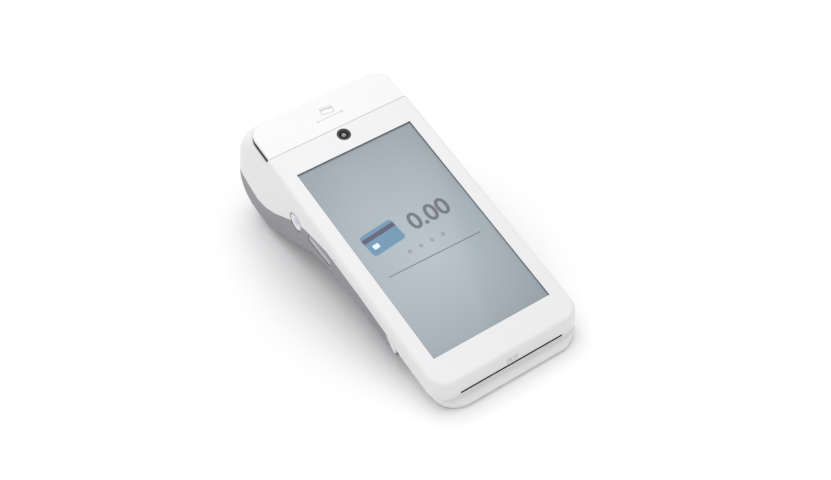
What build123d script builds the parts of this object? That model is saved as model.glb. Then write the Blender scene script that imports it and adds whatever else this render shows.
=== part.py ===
# Handheld card payment terminal: 5-inch touch screen, chip-card slot at the slim end, magnetic swipe
# slot under the cap plate, and a thermal receipt printer with its paper roll in the thick end.
#
# Everything is first placed in the device frame: x across the face, y along it towards the printer,
# z out of the face, zero at the centre of the screen window.  At the end the whole terminal is tipped
# so that it lies on its feet, with its origin at the centre of its footprint, +Z up.
import os
from math import asin, atan2, cos, degrees, hypot, pi, sin, sqrt, tan

from build123d import *

os.makedirs("parts", exist_ok=True)

# ---------------------------------------------------------------- driving dimensions (millimetres)
window_width = 62.1
window_height = 110.4
side_border = 7.95
seam_border = 13.5             # window to the swipe cap's seam
slim_border = 14.5             # window to the face's lower edge
cap_depth = 19.8               # seam to the swipe cap's far edge
bulge_reach = 10.4             # how far the thick end stands out beyond the cap
crown_drop = 16.5              # over this depth below the face
bulge_depth = 57.0
hump_depth = 20.6              # battery cover, measured from the face
slim_depth = 13.6              # slim end, measured from the face
end_drop = 18.5                # where the form's end wall would meet its underside, unrounded
lip_reach = 4.3                # how far the slim end's lip stands out below the card slot
lip_round = 2.6
wall_rake = 0.2545             # the slim end's wall leans out by this much for each mm down

wall = 1.8
cover_wall = 1.6
seam_gap = 0.25
face_round = 2.4
corner_round = 9.0
lip_corner = 16.0
fit = 0.15                     # clearance of pieces set into a pocket, each side
running = 0.05                 # radial clearance of a shaft in its hole
air = 0.4                      # gap between pieces that must not touch

# screen stack, from the face inwards
window_lip = 0.4
gasket_thick = 0.7
glass_thick = 1.0
panel_thick = 2.2
tray_thick = 0.8
screen_margin = 2.0            # glass beyond the window, each side
board_thick = 1.0
board_drop = 1.4               # screen tray to board

# magnetic swipe
cap_thick = 1.3
swipe_gap = 1.8
guide_thick = 1.1
cap_inset = 1.5
cap_rib = 1.5
stripe_reach = 9.5             # card edge to the middle of its stripe
head_travel = 0.5

# chip card slot
slot_width = 54.5
slot_height = 1.2
slot_depth = 7.6               # slot's middle, measured from the face
reader_length = 38.0

# receipt printer
roll_radius = 19.0
roll_width = 57.0
core_radius = 6.5
core_bore = 5.0
platen_radius = 4.0
platen_width = 56.0
shaft_radius = 1.5
gear_module = 0.5
gear_width = 2.4
platen_teeth, small_teeth, large_teeth, pinion_teeth = 18, 16, 46, 10
frame_plate = 1.0

# side furniture
cap_radius = 5.0
button_travel = 0.5
button_stand = 0.45

# battery
battery_width, battery_length, battery_thick = 58.0, 66.0, 6.4

# ---------------------------------------------------------------- places that follow from them
half_width = window_width / 2 + side_border
seam_y = window_height / 2 + seam_border
cap_end = seam_y + cap_depth
thick_end = cap_end + bulge_reach
face_end = -window_height / 2 - slim_border
split_z = -9.5                 # front housing to rear housing, at the slim end
wall_end = face_end + wall_rake * split_z
lip_end = wall_end - lip_reach
hump_end = face_end + 31.5     # battery cover's lower edge
cover_slant = 1.3              # the cover's lower edge leans back by this much for each mm up

gasket_top = -window_lip
glass_top = gasket_top - gasket_thick
panel_top = glass_top - glass_thick
tray_top = panel_top - panel_thick
board_top = tray_top - tray_thick - board_drop
board_low = board_top - board_thick
deck_top = board_low - 2.4     # battery tray floor
deck_thick = 1.2

slot_floor = -cap_thick - swipe_gap
roll_y = thick_end - 23.6
roll_z = -bulge_depth + 22.6
waist_y = seam_y - 26.4        # the round side caps sit here
waist_z = -15.8
hinge_y = thick_end - 1.5
hinge_z = -33.8
hinge_radius = 1.2

platen_y = thick_end - 10.4
platen_z = slot_floor - 11.6


# ---------------------------------------------------------------- places for the smaller pieces
stripe_y = seam_y + stripe_reach
head_half, head_reach = 6.0, 3.0
camera_y = (window_height / 2 + seam_y) / 2 + 2.1
camera_radius = 3.2
paper_slot_half = 29.5
paper_slot_z = platen_z + platen_radius + 0.4
dock_half, dock_y = 11.0, face_end + 14.0
foot_x, foot_size, foot_proud, foot_deep = 24.0, (14.0, 5.0), 0.6, 0.8
belly_round = 20.0             # between the thick end's underside and the waist
belly_y = roll_y - 11.0        # where those two would meet, unrounded
waist_z_low = -hump_depth - 2.9
belly_slope = atan2(bulge_depth + waist_z_low, belly_y - waist_y + 22.3)

# the ground, as a line in the y-z plane that touches the slim end's corner and the belly's round
slim_corner = (lip_end + lip_round, -slim_depth)
round_centre = (belly_y + belly_round * tan(belly_slope / 2), belly_round - bulge_depth)
ground_run = hypot(round_centre[0] - slim_corner[0], round_centre[1] - slim_corner[1])
lie_angle = degrees(asin(belly_round / ground_run)
                    - atan2(round_centre[1] - slim_corner[1], round_centre[0] - slim_corner[0]))
slim_foot_y = slim_corner[0] + 4.5
door_foot_run = sqrt(ground_run ** 2 - belly_round ** 2)
hinge_spans = [(-31.0, -22.0), (-6.0, 6.0), (22.0, 31.0)]
pin_radius = 0.6
hinge_lugs = [(x, x + 1.6) for low, high in hinge_spans for x in (low - 2.0, high + 0.4)]
lug_half = 1.0
hinge_skirt = 1.2              # the door's skin stands this far above its axle
hinge_sweep = 2.1              # and needs this much room to turn
port_y = (13.5, 31.5)
port_low, port_rise = -17.2, 4.2
side_keys = {"power_button": (18.0, 9.0), "volume_key": (36.0, 18.0)}
key_height = 1.7
key_z = -4.4
screw_radius, screw_head = 0.65, 1.5
screw_x = half_width - 3.8
housing_screw_places = [(x, y) for x in (-screw_x, screw_x) for y in (face_end + 9.5, hump_end - 3.5)]


latch_y = waist_y - 4.2
latch_travel = 1.5
battery_y = (hump_end + waist_y - 9) / 2 - 1.0
battery_top = deck_top - deck_thick - air
motor_y, motor_z, motor_radius = roll_y - 23.0, roll_z + 18.0, 7.4
plate_x = 31.2                 # outer face of the printer frame's side plates
gear_x = plate_x + 1.6
small_angle = 160.0            # platen gear to small idler
pivot_y, pivot_z = platen_y - 6.0, platen_z + platen_radius + 1.3
board_screw_x = 30.0
board_low_y = face_end + reader_length + 6.0
board_high_y = seam_y - 8.5
board_screw_y = (board_low_y + 5, board_high_y - 4.5)


def box(x, y, z):
    """A block from its low and high corners, given as (low, high) pairs."""
    size = [pair[1] - pair[0] for pair in (x, y, z)]
    middle = [(pair[0] + pair[1]) / 2 for pair in (x, y, z)]
    return Pos(*middle) * Box(*size)


def across(half, y, z):
    """A block centred on x = 0."""
    return box((-half, half), y, z)


def rod(radius, x, y, z):
    """A round bar along x, from x[0] to x[1]."""
    return Pos((x[0] + x[1]) / 2, y, z) * Rot(Y=90) * Cylinder(radius, x[1] - x[0])


def post(radius, x, y, z):
    """A round bar along z, from z[0] to z[1]."""
    return Pos(x, y, (z[0] + z[1]) / 2) * Cylinder(radius, z[1] - z[0])


def plate(width, length, z, corner, y=0.0, x=0.0):
    """A flat rounded rectangle from z[0] to z[1]."""
    outline = RectangleRounded(width, length, corner)
    return Pos(x, y, z[0]) * extrude(outline, z[1] - z[0])


def mirrored(piece):
    return piece.mirror(Plane.YZ)


# ---------------------------------------------------------------- the outer form
def side_outline(inset=0.0):
    """The terminal seen from its side: flat face, round thick end, waist, hump and slim end."""
    corners = [
        (cap_end, 0),
        (thick_end, -crown_drop),
        (thick_end, -bulge_depth),
        (belly_y, -bulge_depth),
        (waist_y - 22.3, waist_z_low),
        (hump_end, -hump_depth),
        (face_end - wall_rake * end_drop, -end_drop),
        (face_end, 0),
    ]
    radii = [24, 20, belly_round, 45, 60, corner_round + 0.5]
    outline = make_face([FilletPolyline(*corners, radius=radii), Line(corners[-1], corners[0])])
    if inset:
        outline = offset(outline, -inset, kind=Kind.INTERSECTION)
    return Plane.YZ * outline


def envelope(inset=0.0):
    """The outer form, or the hollow inside it when it is inset by a wall."""
    half = half_width - inset
    block = extrude(side_outline(inset), half, both=True)
    sides = block.edges().filter_by(lambda e: abs(abs(e.center().X) - half) < 0.01)
    face_edges = sides.filter_by(lambda e: e.center().Z > -inset - 0.01)
    block = fillet(sides - face_edges, corner_round - inset)
    rim = block.edges().filter_by(lambda e: abs(e.bounding_box().min.Z + inset) < 0.01
                                  and abs(e.bounding_box().max.Z + inset) < 0.01)
    return fillet(rim, max(face_round - inset, 0.5))


def region(*points):
    """A y-z polygon stretched across the width, used to share the outer form among the covers."""
    face = make_face(Polyline(*points, points[0]))
    return extrude(Plane.YZ * face, 2 * half_width, both=True)


def shared_line(shift):
    """Lower edge of the white housing, moved by shift along z: the covers meet it below."""
    marks = [
        (hump_end, -7.8), (hump_end + 28, -6.4), (waist_y - 25, -6.8), (waist_y - 8, -12.0),
        (waist_y, waist_z), (waist_y + 5.5, -20.6), (waist_y + 18, -31.8), (waist_y + 26, -37.0),
        (waist_y + 33, -39.2), (waist_y + 41, -37.6), (hinge_y, hinge_z),
    ]
    return [(y, z + shift) for y, z in marks]


# seam between printer door and battery cover, from the side caps down to the belly
door_seam = [(waist_y + 3.6, waist_z - 3.7), (waist_y - 7.0, waist_z - 12.5), (waist_y - 12.0, waist_z - 25)]


def white_region():
    low = shared_line(0)
    return region((face_end - 12, split_z), (hump_end - 5, split_z), *low, (thick_end + 5, hinge_z),
                  (thick_end + 5, 5), (face_end - 12, 5))


def door_region():
    low = [mark for mark in shared_line(-seam_gap) if mark[0] > waist_y + 5]
    seam = [(y + seam_gap, z) for y, z in door_seam]
    return region(*seam[::-1], *low, (thick_end + 5, hinge_z - seam_gap), (thick_end + 5, -90),
                  (seam[-1][0], -90))


def battery_region():
    low = [mark for mark in shared_line(-seam_gap) if mark[0] <= waist_y]
    low[0] = (hump_end + cover_slant * (slim_depth - 7.8), low[0][1] + 0.35)
    return region((hump_end, -90), (hump_end, -slim_depth), *low, *door_seam, (door_seam[-1][0], -90))


def cheek_region():
    """The rear housing's corner in front of the battery cover's slanted lower edge."""
    low, top = -slim_depth + 0.5, split_z + 1.7 - seam_gap
    edge = [(hump_end + cover_slant * (z + slim_depth) - air, z) for z in (low, top)]
    return region((hump_end - 1, low), *edge, (hump_end - 1, top))


def slim_form(inset=0.0):
    """The white slim end: rounded in plan, with a lip that swells out below the card slot."""
    low = -slim_depth + inset
    tip = lip_end + inset
    middle = (split_z + low) / 2
    step = (wall_end + inset, split_z - 0.6 * inset)
    if inset:
        rim = [Polyline((wall_end + inset, split_z), step, (tip, middle), (tip + lip_round, low))]
    else:
        rim = [RadiusArc(step, (tip, middle), -4.2), RadiusArc((tip, middle), (tip + lip_round, low), -2.6)]
    side = make_face([
        Line((hump_end, split_z), (wall_end + inset, split_z)), *rim,
        Line((tip + lip_round, low), (hump_end, low)),
        Line((hump_end, low), (hump_end, split_z)),
    ])
    half = half_width - inset
    form = extrude(Plane.YZ * side, half, both=True)
    length = hump_end - tip + 30
    form &= plate(2 * half, length, (-60, 5), lip_corner - inset, y=tip - 0.05 + length / 2)
    under = Plane.XZ * Pos(0, low + 20) * RectangleRounded(2 * half, 40, 6.5 - inset)
    return form & extrude(under, 200, both=True)


# ---------------------------------------------------------------- casings
outer = envelope()
inner = envelope(wall)
cover_inner = envelope(cover_wall)
waist_hole = rod(cap_radius + fit, (-half_width - 5, half_width + 5), waist_y, waist_z)


def front_housing():
    shell = (outer - inner) & white_region()
    glass_w, glass_h = window_width + 2 * screen_margin, window_height + 2 * screen_margin
    border = plate(glass_w + 6, glass_h + 6, (-wall - 1.2, -0.6), 3) & inner
    shell += border
    shell -= plate(glass_w + 2 * fit, glass_h + 2 * fit, (-wall - 3, gasket_top), 1.5)
    shell -= across(window_width / 2, (-window_height / 2, window_height / 2), (-5, 1))
    # shoulder under the swipe cap: a step in the face, closed by a floor
    step_floor = slot_floor - guide_thick - fit
    floor = across(half_width, (seam_y - 1.6, thick_end), (step_floor - 1.4, slot_floor)) & outer
    lip = floor.edges().filter_by(lambda e: abs(e.center().Z - slot_floor) < 0.01 and e.center().Y > seam_y)
    floor = fillet(lip, 0.6)
    end_wall = across(half_width, (seam_y - 1.6, seam_y), (slot_floor - 1.4, 0)) & outer
    shell -= across(half_width + 1, (seam_y, thick_end), (step_floor - 1.4, 1))
    shell += floor
    shell += end_wall
    shell -= guide_block(0.0, (step_floor, 1))
    shell -= across(half_width - 7 + fit, (seam_y, seam_y + cap_rib + 2 * fit), (slot_floor - 3, 1))
    shell -= across(head_half + air, (stripe_y - head_reach - air, stripe_y + head_reach + air), (-20, 1))
    # front camera, card slot, paper slot
    shell -= post(camera_radius + fit, 0, camera_y, (-9, 1))
    shell -= across(slot_width / 2, (wall_end - 6, face_end + 6),
                    (-slot_depth - slot_height / 2, -slot_depth + slot_height / 2))
    shell -= across(paper_slot_half, (thick_end - 8, thick_end + 5),
                    (paper_slot_z - 0.9, paper_slot_z + 0.9))
    # keys on the right, port and caps at the sides
    for key in side_keys.values():
        shell -= key_block(*key, grow=fit, x=(half_width - 4, half_width + 3))
    shell -= waist_hole
    shell -= across(half_width, (hinge_y - hinge_sweep, thick_end + 3), (hinge_z - 3, hinge_z + hinge_sweep))
    for x in hinge_lugs:
        shell += box(x, (hinge_y - lug_half, hinge_y + lug_half), (hinge_z - lug_half, hinge_z + hinge_sweep + 1.2)) & outer
    shell -= rod(pin_radius, (-half_width + 3, half_width - 3), hinge_y, hinge_z)
    shell -= port_block(fit, (-half_width - 5, -half_width + 3.2))
    shell -= rod(0.5, (-half_width - 1, -half_width + 4), port_y[0] - 3.2, -5.0)
    # screw pillars
    for x, y in housing_screw_places:
        shell += post(1.7, x, y, (split_z, -wall + 0.5)) - post(screw_radius, x, y, (split_z - 1, -4.0))
    return shell


def rear_housing():
    shell = slim_form() - slim_form(wall)
    shell += (outer - cover_inner) & cheek_region()
    shell += across(half_width - wall - 0.4, (hump_end - 1.2, waist_y - 4), (deck_top - deck_thick, deck_top))
    shell += across(half_width - wall - 4, (waist_y - 5.2, waist_y - 4), (-24, deck_top))
    for side in (-1, 1):
        edge = half_width - wall - 2.4
        ear = box((edge - 1.6, edge), (waist_y - 5.2, waist_y + cap_radius), (waist_z - 4, deck_top))
        seat = rod(cap_radius - 1.2, (edge - 0.5, half_width - 2.3), waist_y, waist_z)
        both = ear + seat
        shell += both if side > 0 else mirrored(both)
    shell -= rod(1.25, (-half_width, half_width), waist_y, waist_z)
    shell -= across(9.0, (hump_end + 3, hump_end + 8), (deck_top - 3, deck_top + 1))
    shell -= across(dock_half, (dock_y - 3, dock_y + 3), (-slim_depth - 1, -slim_depth + wall + 1))
    shell -= port_block(fit + 1.6, (-half_width, -half_width + 9.8))
    for x, y in housing_screw_places:
        shell += post(2.4, x, y, (-slim_depth + 0.5, split_z - fit)) & slim_form(0.3)
        shell -= post(screw_radius + 0.15, x, y, (-slim_depth - 1, split_z + 1))
        shell -= post(screw_head + fit, x, y, (-slim_depth - 1, split_z - 3.0))
    for x in (-foot_x, foot_x):
        shell -= slim_foot(x, fit)
    return shell


def battery_cover():
    shell = (outer - cover_inner) & battery_region()
    shell -= rod(cap_radius + fit, (-half_width - 5, half_width + 5), waist_y, waist_z)
    shell -= port_block(fit, (-half_width - 5, -half_width + 3.2))
    grip = [Pos(0, hump_end + 12 + 2.4 * row, -hump_depth - 0.1) * Box(22, 1.0, 0.8) for row in range(4)]
    return (shell - grip).solids().sort_by(SortBy.VOLUME)[-1]


def printer_door():
    skirt = across(2 * half_width, (hinge_y - 0.2, thick_end + 5), (hinge_z - 3, hinge_z + hinge_skirt))
    shell = (outer - cover_inner) & (door_region() + skirt)
    shell -= rod(cap_radius + fit, (-half_width - 5, half_width + 5), waist_y, waist_z)
    shell -= across(half_width + 1, (hinge_y - 6, thick_end + 3), (hinge_z + hinge_skirt, 0))
    for x in hinge_lugs:
        shell -= box((x[0] - air, x[1] + air), (hinge_y - lug_half - 0.6, thick_end + 3), (hinge_z - 1.5, 0))
    for x in hinge_spans:
        shell += rod(hinge_radius, x, hinge_y, hinge_z)
        shell += box(x, (hinge_y - 1.0, hinge_y + 0.8), (hinge_z - 2.6, hinge_z))
    shell -= rod(pin_radius + running, (-half_width, half_width), hinge_y, hinge_z)
    shell -= latch_block(fit, latch_travel)
    for x in (-foot_x, foot_x):
        shell -= door_foot(x, fit)
    return shell


def swipe_cover():
    """Cap plate over the swipe slot; its rib is the stop that a card's edge runs along."""
    half = half_width - cap_inset
    reach = cap_end - seam_y - seam_gap
    cap = plate(2 * half, reach + 20, (-cap_thick, 0), 7.5, y=seam_y + seam_gap + reach / 2 - 10)
    cap &= across(half, (seam_y + seam_gap, cap_end + 1), (-10, 1))
    rim = cap.edges().filter_by(lambda e: abs(e.center().Z) < 0.01 and e.center().Y > seam_y + 1)
    cap = fillet(rim, 0.6)
    rib = across(half_width - 7, (seam_y + seam_gap, seam_y + cap_rib + fit), (slot_floor - 2.4, -cap_thick))
    return cap + rib


def guide_block(shrink, z):
    """The swipe guide's outline, round at the two far corners."""
    half = half_width - cap_inset + 0.35 - shrink
    end = cap_end - 0.6 - shrink
    block = plate(2 * half, 60, z, 7.4, y=end - 30)
    return block - across(half + 1, (0, seam_y + shrink), (-30, 30))


def swipe_guide():
    """Dark floor of the swipe slot, cut back round the cap's rib and the magnetic head."""
    guide = guide_block(fit, (slot_floor - guide_thick, slot_floor))
    guide -= across(half_width - 6.6, (0, seam_y + cap_rib + 3 * fit), (-30, 30))
    return guide - across(head_half + air, (stripe_y - head_reach - air, stripe_y + head_reach + air), (-20, 1))


def key_block(y, length, grow=0.0, x=(0, 1)):
    """The outline of a side key, widened by grow."""
    rise = key_height / 2 + grow
    return box(x, (y - length / 2 - grow, y + length / 2 + grow), (key_z - rise, key_z + rise))


def port_block(grow, x):
    """The space of the port flap on the left side, tilted with the housing's lower edge."""
    length = port_y[1] - port_y[0] + 2 * grow
    block = Box(x[1] - x[0], length, port_rise + 2 * grow)
    middle = ((x[0] + x[1]) / 2, (port_y[0] + port_y[1]) / 2, port_low + port_rise / 2 + 1.9)
    return Pos(*middle) * Rot(X=-7) * block


def on_belly(piece):
    """Set a piece built about zero, z outwards, on the sloping belly beside the door's seam."""
    belly_z = -bulge_depth + (belly_y - latch_y) * tan(belly_slope)
    return Pos(0, latch_y, belly_z) * Rot(X=180 - degrees(belly_slope)) * piece


def latch_block(grow, depth):
    """The door latch's pocket, lengthened by depth towards the roll so that the latch can slide."""
    return on_belly(Pos(0, -depth / 2, 0) * Box(16 + 2 * grow, 5 + depth + 2 * grow, 12))


# ---------------------------------------------------------------- screen and camera
def screen_size(grow=0.0):
    return window_width + 2 * screen_margin + grow, window_height + 2 * screen_margin + grow


def screen_gasket():
    w, h = screen_size(-2 * fit)
    ring = plate(w, h, (glass_top, gasket_top - 0.02), 1.3)
    return ring - across(window_width / 2, (-window_height / 2, window_height / 2), (-5, 1))


def touch_glass():
    w, h = screen_size(-2 * fit)
    return plate(w, h, (panel_top, glass_top), 1.3)


def display_panel():
    w, h = screen_size(-1.6)
    body = plate(w, h, (tray_top, panel_top), 0.8)
    tail = across(9, (-h / 2 + 2, -h / 2 + 8), (tray_top, panel_top - 0.5))
    return body + tail


def screen_tray():
    """Pressed metal tray behind the display, with turned edges and windows for cables."""
    w, h = screen_size(0.8)
    low = tray_top - tray_thick
    tray = plate(w, h, (low, tray_top), 2.0) - across(11, (-h / 2 + 3, -h / 2 + 9), (-20, 1))
    for y in (-20, 8, 36):
        tray -= Pos(0, y, low) * Box(34, 10, 0.6)
    for x in (-board_screw_x, board_screw_x):
        for y in board_screw_y:
            tray += post(1.9, x, y, (board_top, low)) - post(0.75, x, y, (board_top - 1, low - 0.1))
    return tray - [post(0.75, x, y, (board_top - 1, low - 0.4))
                   for x in (-board_screw_x, board_screw_x) for y in board_screw_y]


def front_camera():
    body = across(2.9, (camera_y - 2.9, camera_y + 2.9), (-5.6, -2.4))
    return body + post(2.1, 0, camera_y, (-2.4, -1.25))


def camera_ring():
    ring = post(camera_radius, 0, camera_y, (-2.0, 0.08)) - post(2.2, 0, camera_y, (-3, 0.0 - 1.2))
    cone = Pos(0, camera_y, -0.5) * Cone(1.2, 2.3, 1.4)
    return ring - cone - post(1.2, 0, camera_y, (-3, 1))


def camera_window():
    return post(1.12, 0, camera_y, (-1.15, -0.55))


# ---------------------------------------------------------------- boards and electronics
def main_board():
    middle = (board_low_y + board_high_y) / 2
    board = plate(66, board_high_y - board_low_y, (board_low, board_top), 2, y=middle)
    holes = [post(1.15, x, y, (-20, 1)) for x in (-board_screw_x, board_screw_x) for y in board_screw_y]
    return board - holes


def board_screws():
    screws = []
    for x in (-board_screw_x, board_screw_x):
        for y in board_screw_y:
            head = post(1.7, x, y, (board_low - 0.9, board_low)) - post(0.7, x, y, (board_low - 2, board_low - 0.4))
            screws.append(head + post(0.7, x, y, (board_low, board_top + 1.2)))
    return screws


def shield_cans():
    cans = [((-26, -6), (-22, 0)), ((2, 24), (-20, 2)), ((-24, 4), (10, 30))]
    return [box(x, y, (board_low - 1.9, board_low)) for x, y in cans]


def coin_cell():
    return post(5.0, 18, 14, (board_low - 2.0, board_low))


def sam_sockets():
    socket = box((10, 26), (24, 38), (board_low - 1.7, board_low))
    return socket - box((12, 24), (23, 30), (board_low - 1.2, board_low - 0.5))


def vibration_motor():
    return post(4.0, -20, 36, (board_low - 2.2, board_low))


def speaker():
    return box((-28, -12), (44, 55), (board_low - 2.3, board_low))


def microphone():
    return box((20, 24), (board_high_y - 6, board_high_y - 3), (board_low - 1.1, board_low))


def antenna_coil():
    """Contactless loop: three turns of foil laid round the display tray."""
    turns = []
    for turn in range(3):
        size = 1.7 * turn
        turns.append(plate(61 - size, 52 - size, (board_top + 0.5, board_top + 0.7), 4, y=6)
                     - plate(60 - size, 51 - size, (board_top, board_top + 1), 3.5, y=6))
    return turns


def card_reader():
    """Chip card reader: a flat box with its throat at the housing's slot."""
    low = (slot_width + 5) / 2
    body = across(low, (face_end + 2.2, face_end + reader_length), (-9.3, tray_top - tray_thick - 0.2))
    throat = across(slot_width / 2 + 0.6, (wall_end + wall + 1.7, face_end + 2.2), (-8.7, -6.3))
    body += throat
    gap = slot_height + 0.1
    return body - across(slot_width / 2, (wall_end - 5, face_end + reader_length - 2),
                         (-slot_depth - gap / 2, -slot_depth + gap / 2))


def reader_contacts():
    """Eight gold contacts that meet the card's chip."""
    contacts = []
    for row in (-1, 1):
        for place in range(4):
            x = -4 + 2.54 * place
            y = face_end + 22 + 4.5 * row
            contacts.append(box((x - 0.5, x + 0.5), (y - 2, y + 2),
                                (-slot_depth + slot_height / 2 - 0.25, -slot_depth + slot_height / 2 + 0.05)))
    return contacts


def usb_socket():
    return Pos(-half_width + 6.6, (port_y[0] + port_y[1]) / 2, board_low - 2.75) * Box(5, 8.4, 5.4)


# ---------------------------------------------------------------- battery
def battery_pack():
    low = battery_top - battery_thick
    pack = plate(battery_width, battery_length, (low, battery_top), 4, y=battery_y)
    return pack


def battery_contacts():
    springs = []
    for place in range(4):
        x = -6 + 4 * place
        y = hump_end + 5.5
        springs.append(box((x - 0.8, x + 0.8), (y - 1.5, y + 1.5), (deck_top - deck_thick - 0.2, deck_top + 0.5)))
    return springs


def dock_contacts():
    pads = []
    for place in range(4):
        x = -7.5 + 5 * place
        pads.append(box((x - 1.5, x + 1.5), (dock_y - 2, dock_y + 2), (-slim_depth + 0.1, -slim_depth + 0.7)))
    carrier = across(dock_half - fit, (dock_y - 3 + fit, dock_y + 3 - fit), (-slim_depth + 0.7, -slim_depth + 1.9))
    return pads, carrier


def on_ground(piece):
    """Set a piece built about zero, y along the ground and z up, at the slim end's corner."""
    return Pos(0, *slim_corner) * Rot(X=-lie_angle) * piece


def slim_foot(x, grow=0.0):
    """Wedge-shaped rubber foot: let into the slim end, level with the ground below."""
    block = plate(foot_size[0] + 2 * grow, foot_size[1] + 2 * grow, (-slim_depth - 6, -slim_depth + foot_deep),
                  2.0, y=slim_foot_y, x=x)
    return block - on_ground(Pos(0, 0, -10 - foot_proud) * Box(200, 400, 20))


def door_foot(x, grow=0.0):
    size = (foot_size[0] + 2 * grow, foot_size[1] + 2 * grow)
    return on_ground(plate(*size, (-foot_proud, foot_deep), 2.0, y=door_foot_run, x=x))


def housing_screws():
    screws = []
    for x, y in housing_screw_places:
        head = post(screw_head, x, y, (split_z - 4.4, split_z - 3.0)) - post(0.7, x, y, (split_z - 5, split_z - 3.8))
        screws.append(head + post(screw_radius - 0.02, x, y, (split_z - 3.0, -4.6)))
    return screws


# ---------------------------------------------------------------- side furniture
def side_key(y, length):
    """A key that stands out of the right side and rides on its dome switch."""
    key = key_block(y, length, x=(half_width - 2.6, half_width + button_stand))
    rim = key.edges().filter_by(lambda e: abs(e.center().X - half_width - button_stand) < 0.01)
    flange = box((half_width - 3.2, half_width - wall - 0.75), (y - length / 2 - 0.9, y + length / 2 + 0.9),
                 (key_z - 1.4, key_z + 1.4))
    return fillet(rim, 0.3) + flange


def key_switches():
    switches = []
    for y, length in side_keys.values():
        spots = (y,) if length < 12 else (y - 5, y + 5)
        for spot in spots:
            switches.append(box((half_width - 5.2, half_width - 3.2 - button_travel - 0.1),
                                (spot - 1.6, spot + 1.6), (key_z - 1.0, key_z + 1.0)))
    return switches


def port_flap():
    """Rubber flap over the charging socket, hinged along its lower edge."""
    flap = port_block(0, (-half_width + 0.35, -half_width + 1.35))
    lug = port_block(-1.2, (-half_width + 1.35, -half_width + 2.9))
    return flap + lug


def side_cap(side):
    """Round cap over the strap screw, dished like a coin."""
    cap = rod(cap_radius, (half_width - 2.2, half_width - 0.05), waist_y, waist_z)
    rim = cap.edges().filter_by(lambda e: e.center().X > half_width - 0.2)
    cap = fillet(rim, 0.5)
    dish = Pos(half_width + 13.4, waist_y, waist_z) * Sphere(14)
    cap -= dish
    stem = rod(1.2, (half_width - 6.4, half_width - 2.2), waist_y, waist_z)
    cap += stem
    return cap if side > 0 else mirrored(cap)


def door_latch():
    """Thumb latch on the belly, ribbed for grip."""
    latch = on_belly(Pos(0, 0, -0.4) * Box(16, 5, 2.4))
    ribs = [on_belly(Pos(0, place, 0.95) * Box(12, 0.6, 0.5)) for place in (-1.4, 0, 1.4)]
    return latch + ribs


def hinge_pins():
    return [rod(pin_radius, (x[0] - 2.2, x[1] + 2.2), hinge_y, hinge_z) for x in hinge_spans]


# ---------------------------------------------------------------- magnetic head
def mag_head():
    """Magnetic head: its domed face stands in the swipe slot and it floats on a spring."""
    top = slot_floor + 0.7
    body = across(head_half, (stripe_y - head_reach, stripe_y + head_reach), (slot_floor - 4.6, top))
    dome = body.edges().filter_by(Axis.Y).filter_by(lambda e: abs(e.center().Z - top) < 0.01)
    return fillet(dome, 0.6)


def head_bracket():
    """Sprung steel strap that carries the magnetic head."""
    low = slot_floor - 4.6 - head_travel - 0.7
    strap = across(17, (stripe_y - 2.2, stripe_y + 2.2), (low, low + 0.4))
    for x in (-15, 15):
        strap += box((x - 1.5, x + 1.5), (stripe_y - 2.2, stripe_y + 2.2),
                     (low, slot_floor - guide_thick - fit - 1.4))
    return strap


# ---------------------------------------------------------------- gears
def gear(teeth, bore, width=gear_width):
    """A spur gear about z, one tooth on +x, slimmed a little for backlash."""
    pitch = gear_module * teeth / 2
    tip, root = pitch + 0.9 * gear_module, pitch - 1.15 * gear_module
    disc = Cylinder(root, width)
    tooth_face = make_face(Polyline(
        (root - 0.2, -0.95 * gear_module), (pitch, -0.68 * gear_module), (tip, -0.34 * gear_module),
        (tip, 0.34 * gear_module), (pitch, 0.68 * gear_module), (root - 0.2, 0.95 * gear_module),
        (root - 0.2, -0.95 * gear_module)))
    tooth = Pos(0, 0, -width / 2) * extrude(tooth_face, width)
    wheel = disc + [Rot(Z=360 * place / teeth) * tooth for place in range(teeth)]
    return wheel - Cylinder(bore, width + 1)


def turned(wheel, x, centre, angle):
    """Lay a gear's axle along x, with one tooth at the given angle in the y-z plane."""
    about = Rot(Y=90) * Rot(Z=90)
    return Pos(x, *centre) * Rot(X=angle) * about * wheel


def beside(centre, angle, teeth_a, teeth_b):
    """Centre of a gear in mesh, seen from its neighbour at the given angle."""
    reach = gear_module * (teeth_a + teeth_b) / 2
    return centre[0] + reach * cos(angle * pi / 180), centre[1] + reach * sin(angle * pi / 180)


def meshed(angle, tooth_a, teeth_a, teeth_b):
    """Angle of one tooth of a gear in mesh with a neighbour that has a tooth at tooth_a."""
    lead = tooth_a - angle
    return angle + 180 + 180 / teeth_b - lead * teeth_a / teeth_b




def lay_out_train():
    """Platen gear, small idler, large idler and motor pinion, in mesh one after another."""
    platen = (platen_y, platen_z)
    small = beside(platen, small_angle, platen_teeth, small_teeth)
    reach_large = gear_module * (small_teeth + large_teeth) / 2
    reach_pinion = gear_module * (large_teeth + pinion_teeth) / 2
    apart = hypot(motor_y - small[0], motor_z - small[1])
    heading = degrees(atan2(motor_z - small[1], motor_y - small[0]))
    along = (reach_large ** 2 - reach_pinion ** 2 + apart ** 2) / (2 * apart)
    bend = degrees(atan2((reach_large ** 2 - along ** 2) ** 0.5, along))
    large_angle = heading + bend
    large = beside(small, large_angle, small_teeth, large_teeth)
    pinion_angle = degrees(atan2(motor_z - large[1], motor_y - large[0]))
    tooth = {"platen": 0.0}
    tooth["small"] = meshed(small_angle, tooth["platen"], platen_teeth, small_teeth)
    tooth["large"] = meshed(large_angle, tooth["small"], small_teeth, large_teeth)
    tooth["pinion"] = meshed(pinion_angle, tooth["large"], large_teeth, pinion_teeth)
    places = {"platen": platen, "small": small, "large": large, "pinion": (motor_y, motor_z)}
    return places, tooth


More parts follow.
